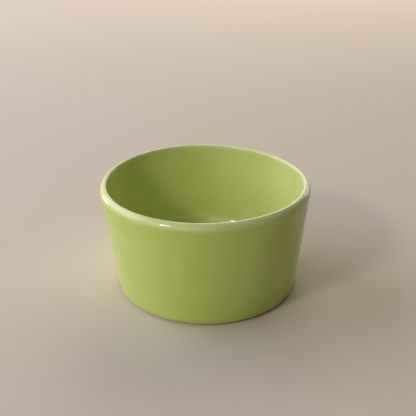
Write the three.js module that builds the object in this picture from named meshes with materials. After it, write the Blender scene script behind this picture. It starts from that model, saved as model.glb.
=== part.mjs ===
// Side bowl: a small straight-sided bowl of glazed earthenware, with a rounded rim and a bare foot ring.
// Millimetres, +Z up. The origin is the middle of the foot, on the table.
//
// A fired clay body carries two coats of glaze. One runs unbroken up the outside, over the rim and down to the
// middle of the floor inside. The other lies in the recess under the foot. The foot ring between them is wiped
// bare, so that the bowl can stand in the kiln.

import * as THREE from "three";

// Overall sizes, over the glaze
const RIM_DIAMETER = 110; // where the rim starts to round over
const BASE_DIAMETER = 96.5; // the outside of the wall, carried down to the table
const HEIGHT = 58.5;

// Thicknesses
const CLAY_WALL = 3.3;
const CLAY_FLOOR = 4.2;
const GLAZE = 0.4;

// Rim: a broad round outside that runs into a tight one inside
const RIM_DROP = 4.2; // how far down the outside the round begins, at least the wall's whole thickness
const RIM_INNER_RADIUS = 1.2;
const RIM_INNER_LIMIT = 0.4; // of the wall's whole thickness

// Inside, where the wall runs into the floor
const FLOOR_FILLET = 14;

// Foot
const FOOT_BEVEL = 1; // height and width of the bare bevel under the wall
const FOOT_WIDTH = 4.5; // the flat ring that stands on the table
const RECESS_DEPTH = 2;
const RECESS_FILLET = 1.5;

// Facets
const TURN_SEGMENTS = 64;
const ARC_STEP = Math.PI / 12; // about what one facet turns along a profile

const DOWN = -Math.PI / 2;
const LEVEL = 0;
const UPRIGHT = Math.PI / 2;

const point = (radius, height) => new THREE.Vector2(radius, height);
const moved = (from, direction, distance) => from.clone().addScaledVector(direction, distance);
const arc = (centre, radius, from, to) => {
  const round = new THREE.EllipseCurve(centre.x, centre.y, radius, radius, from, to, to < from);
  return round.getPoints(Math.max(1, Math.round(Math.abs(to - from) / ARC_STEP)));
};

// The wall leans out. `out` leaves its outside squarely, and `up` runs along it.
const wallThickness = CLAY_WALL + 2 * GLAZE;
const rimStart = point(RIM_DIAMETER / 2, HEIGHT - Math.max(RIM_DROP, wallThickness));
const lean = Math.atan2(rimStart.x - BASE_DIAMETER / 2, rimStart.y);
const up = point(Math.sin(lean), Math.cos(lean));
const out = point(Math.cos(lean), -Math.sin(lean));
const outAngle = -lean;
const inAngle = Math.PI - lean;

// The point at a height on the face that lies `depth` in from the outside of the wall
function inWall(height, depth) {
  const base = moved(point(BASE_DIAMETER / 2, 0), out, -depth);
  return moved(base, up, (height - base.y) / up.y);
}

// Rim: the inner round tops out at the bowl's height and touches the inside of the wall. The outer round leaves the
// outside of the wall and meets the inner round on a common tangent.
const rimInnerRadius = Math.min(RIM_INNER_RADIUS, RIM_INNER_LIMIT * wallThickness);
const rimInnerCentre = inWall(HEIGHT - rimInnerRadius, wallThickness - rimInnerRadius);
const rimSpan = rimStart.distanceTo(rimInnerCentre);
const rimOuterRadius = (rimSpan ** 2 - rimInnerRadius ** 2) / (2 * (wallThickness - 2 * rimInnerRadius));
const rimOuterCentre = moved(rimStart, out, -rimOuterRadius);
const rimMeetAngle = rimInnerCentre.clone().sub(rimOuterCentre).angle();

// Floor: its fillet touches the inside of the wall and the top of the floor
const floorHeight = RECESS_DEPTH + CLAY_FLOOR + GLAZE;
const filletCentre = inWall(floorHeight + FLOOR_FILLET, wallThickness + FLOOR_FILLET);

// Foot: a bevel goes in from the clay's lower corner to the ring that stands on the table
const clayCorner = inWall(FOOT_BEVEL, GLAZE);
const footOuterRadius = clayCorner.x - FOOT_BEVEL;
const footInnerRadius = footOuterRadius - FOOT_WIDTH;
const recessFillet = Math.min(RECESS_FILLET, RECESS_DEPTH);
const recessRadius = footInnerRadius - recessFillet;

// The bowl's face from the start of the rim to the middle of the floor inside. A depth of nothing gives the face of
// the glaze, and a depth of one coat gives the face of the clay under it.
const face = (depth) => [
  ...arc(rimOuterCentre, rimOuterRadius - depth, outAngle, rimMeetAngle),
  ...arc(rimInnerCentre, rimInnerRadius - depth, rimMeetAngle, UPRIGHT).slice(1),
  ...arc(rimInnerCentre, rimInnerRadius - depth, UPRIGHT, inAngle).slice(1),
  ...arc(filletCentre, FLOOR_FILLET + depth, outAngle, DOWN),
  point(0, floorHeight - depth),
];
const clayFace = face(GLAZE);

// Clay body: from the middle of the recess round the foot, then up the wall and over
const clayProfile = [
  point(0, RECESS_DEPTH),
  ...arc(point(recessRadius, RECESS_DEPTH - recessFillet), recessFillet, UPRIGHT, LEVEL),
  point(footInnerRadius, 0),
  point(footOuterRadius, 0),
  clayCorner,
  ...clayFace,
];

// Glaze coat: back along the clay to its lower corner, round the coat's rolled edge, then up and over its own face
const glazeProfile = [
  ...clayFace.toReversed(),
  clayCorner,
  ...arc(moved(clayCorner, up, GLAZE), GLAZE, outAngle + DOWN, outAngle).slice(1),
  ...face(0),
];

// Base glaze: a disc on the flat of the recess, its rolled edge just short of the fillet
const baseProfile = [
  point(0, RECESS_DEPTH - GLAZE),
  ...arc(point(recessRadius - GLAZE, RECESS_DEPTH), GLAZE, DOWN, LEVEL),
  point(0, RECESS_DEPTH),
];

function turned(name, profile, material) {
  const geometry = new THREE.LatheGeometry(profile, TURN_SEGMENTS);
  geometry.rotateX(Math.PI / 2);
  const mesh = new THREE.Mesh(geometry, material);
  mesh.name = name;
  return mesh;
}

const bareClay = new THREE.MeshStandardMaterial({ color: 0xd9c6a5, roughness: 0.9, metalness: 0 });
const limeGlaze = new THREE.MeshStandardMaterial({ color: 0xa3b155, roughness: 0.15, metalness: 0 });
const limeBaseGlaze = new THREE.MeshStandardMaterial({ color: 0x9aa850, roughness: 0.2, metalness: 0 });

const bowl = new THREE.Group();
bowl.name = "side_bowl";
bowl.add(
  turned("clay_body", clayProfile, bareClay),
  turned("glaze_coat", glazeProfile, limeGlaze),
  turned("base_glaze", baseProfile, limeBaseGlaze),
);

export default bowl;
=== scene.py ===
"""Side bowl of lime-green glazed earthenware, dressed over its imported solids.

Lengths are in millimetres, until a mesh is made in metres.
"""

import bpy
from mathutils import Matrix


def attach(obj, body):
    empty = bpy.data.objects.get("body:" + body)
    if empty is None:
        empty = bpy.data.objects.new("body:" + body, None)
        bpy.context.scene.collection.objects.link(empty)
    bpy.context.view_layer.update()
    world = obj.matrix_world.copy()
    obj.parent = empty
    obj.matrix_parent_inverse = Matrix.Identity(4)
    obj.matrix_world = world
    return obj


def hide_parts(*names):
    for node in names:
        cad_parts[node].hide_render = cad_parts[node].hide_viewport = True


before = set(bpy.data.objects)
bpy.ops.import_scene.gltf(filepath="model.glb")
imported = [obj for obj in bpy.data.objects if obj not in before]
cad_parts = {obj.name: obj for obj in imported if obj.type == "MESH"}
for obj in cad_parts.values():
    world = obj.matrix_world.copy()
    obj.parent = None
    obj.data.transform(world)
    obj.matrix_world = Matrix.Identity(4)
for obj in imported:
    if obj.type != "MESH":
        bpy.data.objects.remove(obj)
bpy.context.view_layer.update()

import math

import bmesh
import bpy
from mathutils import Vector, noise

MM = 0.001
UPRIGHT = math.pi / 2

# The bowl's sizes, as its solids have them
RIM_RADIUS = 55.0
BASE_RADIUS = 48.25
HEIGHT = 58.5
CLAY_WALL = 3.3
CLAY_FLOOR = 4.2
GLAZE = 0.4
RIM_DROP = 4.2
RIM_INNER_RADIUS = 1.2
FLOOR_FILLET = 14.0
FOOT_BEVEL = 1.0
FOOT_WIDTH = 4.5
RECESS_DEPTH = 2.0
RECESS_FILLET = 1.5

# The firing drew the rim in on one side, shifted the foot under it, and left the rim low at two places
RIM_LEAN = 0.7
RIM_LEAN_TO = math.radians(180)
FOOT_ASIDE = 0.45  # along +X
RIM_SAG = 0.5
RIM_SAG_HIGH_AT = math.radians(120)
FIRING_FADE = 1.5  # the power of the height with which draw and sag fade towards the foot

# The coat of glaze lies a little uneven, and its lower edge wavers where the foot was wiped
RIPPLE = 0.05
RIPPLE_LENGTH = 22.0
EDGE_WAVER = 0.5
EDGE_WAVER_LENGTH = 14.0
EDGE_FADE = 4.0

# Where the glaze breaks pale over the rim, and where it gathers above the foot. The pale over the rim is
# partly a real break and partly a painted highlight
BREAK_AND_SHEEN_OUTSIDE = 4.2
BREAK_AND_SHEEN_INSIDE = 2.0
GATHER = 3.0

# How deep the glaze lies, where 0 is thin over the rim and 1 is gathered above the foot. The thin end is
# partly a painted highlight, and the inside's depth gives it a lighter colour as painted light
DIPPED = 0.5
# Painted light: the inside takes a lighter, yellower colour than the outside, standing in for the light
# inside the bowl, not for a second glaze
INSIDE_PAINTED_LIGHTER = 0.35

# Pinholes that bubbles left in the glaze: angle round the bowl in degrees, height, width
PINHOLES = ((245.8, 42.8, 0.9), (71.0, 17.5, 0.7), (128.0, 36.0, 0.6))
PINHOLE_DEPTH = 0.25
PINHOLE_ROUNDS = 3  # of halving the faces about each

# The foot was turned on the wheel: fine rings, and edges rubbed round
TURNING_RING = 0.9
TURNING_DEPTH = 0.04
FOOT_ROUND = 0.35

# Glaze colours by depth, and what lies unevenly in them. Painted light among them: the thin colour over the
# rim is partly a painted highlight, the inside's colour is painted lighter, and the pinholes' colour is
# painted shade
GLAZE_COLOURS = ((0, "#dde49c"), (INSIDE_PAINTED_LIGHTER, "#d0d885"), (DIPPED, "#c0d36a"), (1, "#b3c75c"))
# Painted shade: the pinholes are coloured dark olive, standing in for the shade in the pits
PINHOLE_SHADE_COLOUR = "#6f7433"
CLOUD_LENGTH = 16.0
CLOUD_DEPTH = 0.07  # either way, on the scale of depths above
PEEL_LENGTH = 4.0
PEEL_DEPTH = 0.015

# Bare clay
GRIT_LENGTH = 0.8
GRIT_DEPTH = 0.05

# Most of a noise pattern lies between these
NOISE_LOW = 0.3
NOISE_HIGH = 0.7

# Mesh
SEGMENTS = 288
SHOWN = (1.5, math.radians(6))  # row length and turn of an arc's facet, on a face that shows
COVERED = (6.0, math.radians(15))  # and where glaze and clay meet


def srgb(code, alpha=1.0):
    """A hex colour as linear light."""
    channels = [int(code[i : i + 2], 16) / 255 for i in (1, 3, 5)]
    linear = [c / 12.92 if c <= 0.04045 else ((c + 0.055) / 1.055) ** 2.4 for c in channels]
    return (*linear, alpha)


def per(length):
    """The texture scale that gives a pattern of this many millimetres."""
    return 1 / (length * MM)


def fade(distance, reach):
    """One at no distance, falling smoothly to nothing at the reach."""
    left = min(max(1 - distance / reach, 0.0), 1.0)
    return left * left * (3 - 2 * left)


def arc(centre, radius, start, end, mesh=SHOWN):
    steps = max(2, round(abs(end - start) / mesh[1]))
    angles = [start + (end - start) * i / steps for i in range(steps + 1)]
    return [(centre[0] + radius * math.cos(a), centre[1] + radius * math.sin(a)) for a in angles]


def between(first, last, mesh=SHOWN):
    """Points a row apart on a straight stretch, without its two ends."""
    steps = max(1, round(math.dist(first, last) / mesh[0]))
    return [tuple(a + (b - a) * i / steps for a, b in zip(first, last)) for i in range(1, steps)]


WALL = CLAY_WALL + 2 * GLAZE
LEAN = math.atan2(RIM_RADIUS - BASE_RADIUS, HEIGHT - RIM_DROP)
OUT = -LEAN
IN = math.pi - LEAN


def in_wall(height, depth):
    """The point at a height on the face that lies this deep in from the outside of the wall."""
    foot_r = BASE_RADIUS - depth * math.cos(LEAN)
    foot_z = depth * math.sin(LEAN)
    return foot_r + (height - foot_z) * math.tan(LEAN), height


rim_inner = in_wall(HEIGHT - RIM_INNER_RADIUS, WALL - RIM_INNER_RADIUS)
rim_start = (RIM_RADIUS, HEIGHT - RIM_DROP)
rim_span = math.dist(rim_start, rim_inner)
rim_outer_radius = (rim_span**2 - RIM_INNER_RADIUS**2) / (2 * (WALL - 2 * RIM_INNER_RADIUS))
rim_outer = (rim_start[0] - rim_outer_radius * math.cos(OUT), rim_start[1] - rim_outer_radius * math.sin(OUT))
rim_meet = math.atan2(rim_inner[1] - rim_outer[1], rim_inner[0] - rim_outer[0])
floor_height = RECESS_DEPTH + CLAY_FLOOR + GLAZE
fillet = in_wall(floor_height + FLOOR_FILLET, WALL + FLOOR_FILLET)
clay_corner = in_wall(FOOT_BEVEL, GLAZE)
foot_outer = clay_corner[0] - FOOT_BEVEL
foot_inner = foot_outer - FOOT_WIDTH
recess_radius = foot_inner - RECESS_FILLET


def bowl_face(start, depth, mesh):
    """The face from low on the outside, over the rim, to the middle of the floor, this deep in the glaze."""
    rim = arc(rim_outer, rim_outer_radius - depth, OUT, rim_meet, mesh)
    rim += arc(rim_inner, RIM_INNER_RADIUS - depth, rim_meet, UPRIGHT, mesh)[1:]
    rim += arc(rim_inner, RIM_INNER_RADIUS - depth, UPRIGHT, IN, mesh)[1:]
    turn = arc(fillet, FLOOR_FILLET + depth, OUT, -UPRIGHT, mesh)
    middle = (0.0, floor_height - depth)
    return [
        *between(start, rim[0], mesh),
        *rim,
        *between(rim[-1], turn[0], mesh),
        *turn,
        *between(turn[-1], middle, mesh),
        middle,
    ]


def fired(radius, angle, height):
    """Where a point of the turned shape stands after the firing."""
    share = max(height / HEIGHT, 0) ** FIRING_FADE
    sag = RIM_SAG * (1 - math.cos(2 * (angle - RIM_SAG_HIGH_AT))) / 2
    draw = RIM_LEAN * (1 - math.cos(angle - RIM_LEAN_TO)) / 2
    radius -= share * draw if radius else 0
    aside = FOOT_ASIDE * (1 - share)
    return Vector((radius * math.cos(angle) + aside, radius * math.sin(angle), height - share * sag))


def uneven(place, length):
    """A soft random number from 0 to 1 that changes over about this length."""
    return (1 + noise.noise(place / length)) / 2


def as_turned(radius, angle, height, normal):
    return radius, height


def as_dipped(radius, angle, height, normal):
    """The free face of the glaze, drawn in where the coat is thin, its lower edge pushed up where wiped."""
    place = Vector((radius * math.cos(angle), radius * math.sin(angle), height))
    thin = RIPPLE * uneven(place, RIPPLE_LENGTH)
    radius -= thin * normal[0] if radius else 0
    height -= thin * normal[1]
    return as_wiped(radius, angle, height, normal)


def as_wiped(radius, angle, height, normal):
    """The face of the glaze on the clay, with its lower edge pushed up where wiped."""
    if radius > foot_outer:
        round_foot = Vector((math.cos(angle), math.sin(angle), 0)) * BASE_RADIUS
        push = EDGE_WAVER * uneven(round_foot, EDGE_WAVER_LENGTH) * fade(height - FOOT_BEVEL, EDGE_FADE)
        radius += push * math.sin(LEAN)
        height += push * math.cos(LEAN)
    return radius, height


def as_pooled(radius, angle, height, normal):
    """The glaze under the foot, drawn in unevenly from its edge."""
    round_pool = Vector((math.cos(angle), math.sin(angle), 1)) * recess_radius
    draw = EDGE_WAVER * uneven(round_pool, EDGE_WAVER_LENGTH)
    radius *= 1 - draw / recess_radius
    if normal[1] < 0:
        place = Vector((radius * math.cos(angle), radius * math.sin(angle), 0))
        height += RIPPLE * uneven(place, RIPPLE_LENGTH)
    return radius, height


def turned(name, stretches):
    """A closed mesh turned from stretches of a profile, from axis to axis, each with its finish."""
    profile = [point for points, _ in stretches for point in points]
    finishes = [finish for points, finish in stretches for _ in points]
    corners, rings, coat = [], [], []
    for row, (radius, height) in enumerate(profile):
        before, after = profile[max(row - 1, 0)], profile[min(row + 1, len(profile) - 1)]
        run = math.dist(before, after)
        normal = ((after[1] - before[1]) / run, (before[0] - after[0]) / run)
        count = SEGMENTS if radius > 0 else 1
        rings.append(range(len(corners), len(corners) + count))
        for i in range(count):
            angle = 2 * math.pi * i / SEGMENTS
            r, z = finishes[row](radius, angle, height, normal)
            corners.append(fired(r, angle, z))
        coat += [coat_depth_and_light(radius, height)] * count
    faces = []
    for low, high in zip(rings, rings[1:]):
        for i in range(SEGMENTS):
            j = (i + 1) % SEGMENTS
            face = [low[i % len(low)], low[j % len(low)], high[j % len(high)], high[i % len(high)]]
            faces.append(list(dict.fromkeys(face)))
    mesh = bpy.data.meshes.new(name)
    mesh.from_pydata([c * MM for c in corners], [], faces)
    mesh.attributes.new("glaze_depth_and_light", "FLOAT", "POINT").data.foreach_set("value", coat)
    mesh.attributes.new("pinhole", "FLOAT", "POINT")
    mesh.shade_smooth()
    piece = bpy.data.objects.new(name, mesh)
    bpy.context.scene.collection.objects.link(piece)
    return piece


def coat_depth_and_light(radius, height):
    """How deep the glaze lies, with painted light: dipped outside, painted lighter inside for the light in
    the bowl, and thin over the rim, where the pale is partly a painted highlight.
    """
    outside = radius > in_wall(height, WALL / 2)[0]
    depth = DIPPED if outside else INSIDE_PAINTED_LIGHTER
    depth *= 1 - fade(HEIGHT - height, BREAK_AND_SHEEN_OUTSIDE if outside else BREAK_AND_SHEEN_INSIDE)
    gathered = fade(height - FOOT_BEVEL, GATHER) if outside else 0.0
    return depth + (1 - depth) * gathered


def sink_pinholes(piece):
    """Draws the glaze in at each pinhole, where its faces are first made finer."""
    shape = bmesh.new()
    shape.from_mesh(piece.data)
    mark = shape.verts.layers.float["pinhole"]
    for angle, height, width in PINHOLES:
        angle = math.radians(angle)
        middle = fired(in_wall(height, 0)[0], angle, height) * MM
        outward = Vector((math.cos(angle), math.sin(angle), 0))
        for halving in range(PINHOLE_ROUNDS):
            reach = width * (1 + SHOWN[0] / 2**halving) * MM
            about = [f for f in shape.faces if (f.calc_center_median() - middle).length < reach]
            edges = {e for f in about if f.normal.dot(outward) > 0 for e in f.edges}
            bmesh.ops.subdivide_edges(shape, edges=list(edges), cuts=1, use_grid_fill=True)
        shape.normal_update()
        for vert in shape.verts:
            near = fade((vert.co - middle).length, width / 2 * MM)
            if near and vert.normal.dot(outward) > 0:
                vert.co -= outward * near * PINHOLE_DEPTH * MM
                # Marks how far the pit reaches, for its painted shade
                vert[mark] = near
    shape.to_mesh(piece.data)
    shape.free()


def add_node(tree, kind, inputs=None, **settings):
    """One shader node with its settings, its sockets filled or linked."""
    made = tree.nodes.new(kind)
    for field, value in settings.items():
        setattr(made, field, value)
    for socket, value in (inputs or {}).items():
        if isinstance(value, bpy.types.NodeSocket):
            tree.links.new(value, made.inputs[socket])
        else:
            made.inputs[socket].default_value = value
    return made


def new_material(name):
    material = bpy.data.materials.new(name)
    material.use_nodes = True
    return material, material.node_tree, material.node_tree.nodes["Principled BSDF"]


def colour_ramp(tree, amount, stops):
    """A colour that runs through these stops as the amount goes from 0 to 1."""
    made = add_node(tree, "ShaderNodeValToRGB", {"Fac": amount})
    first, last = made.color_ramp.elements
    first.position, first.color = stops[0][0], srgb(stops[0][1])
    last.position, last.color = stops[-1][0], srgb(stops[-1][1])
    for position, code in stops[1:-1]:
        made.color_ramp.elements.new(position).color = srgb(code)
    return made.outputs["Color"]


def lime_glaze():
    """Glossy coloured earthenware glaze, dipped and fired.

    A smooth glass skin. It breaks pale over the rim, where it ran thin, and that pale is partly a painted
    highlight; it is deeper where it gathered. Inside, its colour is painted lighter for the light in the
    bowl, and its pinholes are painted dark, as shade in the pits.
    """
    material, tree, shader = new_material("lime_earthenware_glaze")
    place = add_node(tree, "ShaderNodeTexCoord").outputs["Object"]
    depth = add_node(tree, "ShaderNodeAttribute", attribute_name="glaze_depth_and_light").outputs["Fac"]
    pinhole = add_node(tree, "ShaderNodeAttribute", attribute_name="pinhole").outputs["Fac"]
    cloud = add_node(tree, "ShaderNodeTexNoise", {"Vector": place, "Scale": per(CLOUD_LENGTH), "Detail": 4.0})
    drift = add_node(
        tree,
        "ShaderNodeMapRange",
        {
            "Value": cloud.outputs["Fac"],
            "From Min": NOISE_LOW,
            "From Max": NOISE_HIGH,
            "To Min": -CLOUD_DEPTH,
            "To Max": CLOUD_DEPTH,
        },
    )
    # The colour from depth holds painted light: lighter inside the bowl, and partly a painted highlight over
    # the rim
    laid = add_node(tree, "ShaderNodeMath", {0: depth, 1: drift.outputs["Result"]}, operation="ADD")
    colour = colour_ramp(tree, laid.outputs["Value"], GLAZE_COLOURS)
    # Painted shade in the pinholes
    pinhole_shaded = add_node(
        tree, "ShaderNodeMix", {"Factor": pinhole, 6: colour, 7: srgb(PINHOLE_SHADE_COLOUR)}, data_type="RGBA"
    )
    tree.links.new(pinhole_shaded.outputs[2], shader.inputs["Base Color"])
    shader.inputs["Roughness"].default_value = 0.1
    shader.inputs["IOR"].default_value = 1.52
    peel = add_node(tree, "ShaderNodeTexNoise", {"Vector": place, "Scale": per(PEEL_LENGTH), "Detail": 2.0})
    skin = add_node(
        tree, "ShaderNodeBump", {"Height": peel.outputs["Fac"], "Strength": 1.0, "Distance": PEEL_DEPTH * MM}
    )
    tree.links.new(skin.outputs["Normal"], shader.inputs["Normal"])
    return material


def bare_clay():
    """Biscuit-fired buff earthenware, wiped clean of glaze: matt and chalky, with fine grit. Its colour is
    painted darker than buff, as painted shade in the thin line where the foot meets the floor.
    """
    material, tree, shader = new_material("bare_earthenware_darkened_for_shade")
    place = add_node(tree, "ShaderNodeTexCoord").outputs["Object"]
    grit = add_node(tree, "ShaderNodeTexNoise", {"Vector": place, "Scale": per(GRIT_LENGTH), "Detail": 4.0})
    # Painted shade: these tones are darker than the buff clay, to deepen the contact shadow at the foot's
    # bevel
    colour = colour_ramp(tree, grit.outputs["Fac"], ((NOISE_LOW, "#a98c66"), (NOISE_HIGH, "#c8b08b")))
    tree.links.new(colour, shader.inputs["Base Color"])
    shader.inputs["Roughness"].default_value = 0.9
    rough = add_node(
        tree, "ShaderNodeBump", {"Height": grit.outputs["Fac"], "Strength": 1.0, "Distance": GRIT_DEPTH * MM}
    )
    tree.links.new(rough.outputs["Normal"], shader.inputs["Normal"])
    return material


def pale_floor():
    material, tree, shader = new_material("pale_floor")
    shader.inputs["Base Color"].default_value = srgb("#d8c9b8")
    shader.inputs["Roughness"].default_value = 0.8
    return material


def place_piece(piece, node, material):
    piece.data.materials.append(material)
    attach(piece, "root")
    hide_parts(node)


# Glaze coat
clay_face = bowl_face(clay_corner, GLAZE, COVERED)
edge_middle = (clay_corner[0] + GLAZE * math.sin(LEAN), clay_corner[1] + GLAZE * math.cos(LEAN))
glaze_edge = arc(edge_middle, GLAZE, OUT - UPRIGHT, OUT)
glaze_coat = turned(
    "glaze_coat_skin",
    [
        (clay_face[::-1], as_wiped),
        (glaze_edge, as_wiped),
        (bowl_face(glaze_edge[-1], 0.0, SHOWN), as_dipped),
    ],
)
sink_pinholes(glaze_coat)
glaze = lime_glaze()
place_piece(glaze_coat, "glaze_coat", glaze)

# Clay body
flat_width = FOOT_WIDTH - 2 * FOOT_ROUND
ring_rows = 4 * round(flat_width / TURNING_RING)  # four rows to a ring
foot_rings = []
for i in range(ring_rows + 1):
    groove = TURNING_DEPTH * (1 - math.cos(UPRIGHT * i)) / 2
    foot_rings.append((foot_inner + FOOT_ROUND + flat_width * i / ring_rows, groove))
clay_body = turned(
    "clay_body_biscuit",
    [
        ([(0.0, RECESS_DEPTH)], as_turned),
        (arc((recess_radius, RECESS_DEPTH - RECESS_FILLET), RECESS_FILLET, UPRIGHT, 0.0), as_turned),
        (arc((foot_inner + FOOT_ROUND, FOOT_ROUND), FOOT_ROUND, math.pi, 1.5 * math.pi)[:-1], as_turned),
        (foot_rings, as_turned),
        (arc((foot_outer - FOOT_ROUND, FOOT_ROUND), FOOT_ROUND, -UPRIGHT, -UPRIGHT / 2)[1:], as_turned),
        ([clay_corner], as_turned),
        (clay_face, as_turned),
    ],
)
place_piece(clay_body, "clay_body", bare_clay())

# Base glaze
pool_edge = arc((recess_radius - GLAZE, RECESS_DEPTH), GLAZE, -UPRIGHT, 0.0)
pool_middle = (0.0, RECESS_DEPTH - GLAZE)
base_glaze = turned(
    "base_glaze_pool",
    [
        ([pool_middle, *between(pool_middle, pool_edge[0])], as_pooled),
        (pool_edge, as_pooled),
        ([(0.0, RECESS_DEPTH)], as_pooled),
    ],
)
place_piece(base_glaze, "base_glaze", glaze)

# Floor
FLOOR_REACH = 3.0  # metres
floor_mesh = bpy.data.meshes.new("floor")
floor_corners = [(x * FLOOR_REACH, y * FLOOR_REACH, 0.0) for x, y in ((-1, -1), (1, -1), (1, 1), (-1, 1))]
floor_mesh.from_pydata(floor_corners, [], [(0, 1, 2, 3)])
floor_mesh.materials.append(pale_floor())
floor = bpy.data.objects.new("floor", floor_mesh)
bpy.context.scene.collection.objects.link(floor)


def lamp(name, azimuth, elevation, distance, watts, width, height, colour):
    """A soft lamp facing the bowl, in a direction from it in degrees. Lengths are in metres."""
    light = bpy.data.lights.new(name, "AREA")
    light.shape = "RECTANGLE"
    light.size, light.size_y = width, height
    light.energy = watts
    light.color = srgb(colour)[:3]
    level = math.cos(math.radians(elevation))
    towards = Vector(
        (
            level * math.cos(math.radians(azimuth)),
            level * math.sin(math.radians(azimuth)),
            math.sin(math.radians(elevation)),
        )
    )
    holder = bpy.data.objects.new(name, light)
    holder.location = Vector((0, 0, HEIGHT * MM / 2)) + towards * distance
    holder.rotation_euler = towards.to_track_quat("Z", "Y").to_euler()
    bpy.context.scene.collection.objects.link(holder)


# Soft light from behind, cooler on the left, a glow from the front, and two small lamps that glint on the rim
lamp("back_right_glow", 66, 25, 1.6, 13.6, 1.5, 1.8, "#fff9e4")
lamp("back_left_glow", 112, 25, 1.6, 7.0, 1.5, 1.8, "#fff8f0")
lamp("left_sky", 166, 28, 1.8, 26, 2.0, 1.4, "#e4e8ff")
lamp("front_glow", 235, 27, 1.2, 3.0, 1.2, 0.8, "#fffdf2")
lamp("front_window", 224, 34, 1.2, 3.0, 0.22, 0.12, "#fffdf8")
lamp("left_window", 145, 3, 1.3, 1.4, 0.35, 0.12, "#fff6ea")

world = bpy.data.worlds.new("room")
world.use_nodes = True
# It hardly lights the bowl, and is pale where it is seen, straight or in the gloss
ROOM_LIGHT = 0.02
ROOM_SEEN = 0.4
sky = world.node_tree.nodes["Background"]
sky.inputs["Color"].default_value = srgb("#f0ebe6")
ray = add_node(world.node_tree, "ShaderNodeLightPath").outputs
shiny = add_node(
    world.node_tree,
    "ShaderNodeMath",
    {0: ray["Is Glossy Ray"], 1: ray["Is Transmission Ray"]},
    operation="MAXIMUM",
)
seen = add_node(
    world.node_tree,
    "ShaderNodeMath",
    {0: ray["Is Camera Ray"], 1: shiny.outputs["Value"]},
    operation="MAXIMUM",
)
strength = add_node(
    world.node_tree,
    "ShaderNodeMapRange",
    {"Value": seen.outputs["Value"], "To Min": ROOM_LIGHT, "To Max": ROOM_SEEN},
)
world.node_tree.links.new(strength.outputs["Result"], sky.inputs["Strength"])
bpy.context.scene.world = world

# Camera, at the photograph's viewing angle. Its side and focal length are in pixels
PHOTO_SIDE = 416
PHOTO_FOCUS = 670
PITCH = math.radians(25.17)
REACH = 356.0
AIM = (1.22, 0.0, 41.58)
camera_data = bpy.data.cameras.new("camera")
camera_data.sensor_width = 36
camera_data.lens = PHOTO_FOCUS / PHOTO_SIDE * camera_data.sensor_width
camera = bpy.data.objects.new("camera", camera_data)
back = Vector((0, -math.cos(PITCH), math.sin(PITCH)))
camera.location = (Vector(AIM) + back * REACH) * MM
camera.rotation_euler = (UPRIGHT - PITCH, 0, 0)
bpy.context.scene.collection.objects.link(camera)
bpy.context.scene.camera = camera
bpy.context.scene.view_settings.view_transform = "Standard"
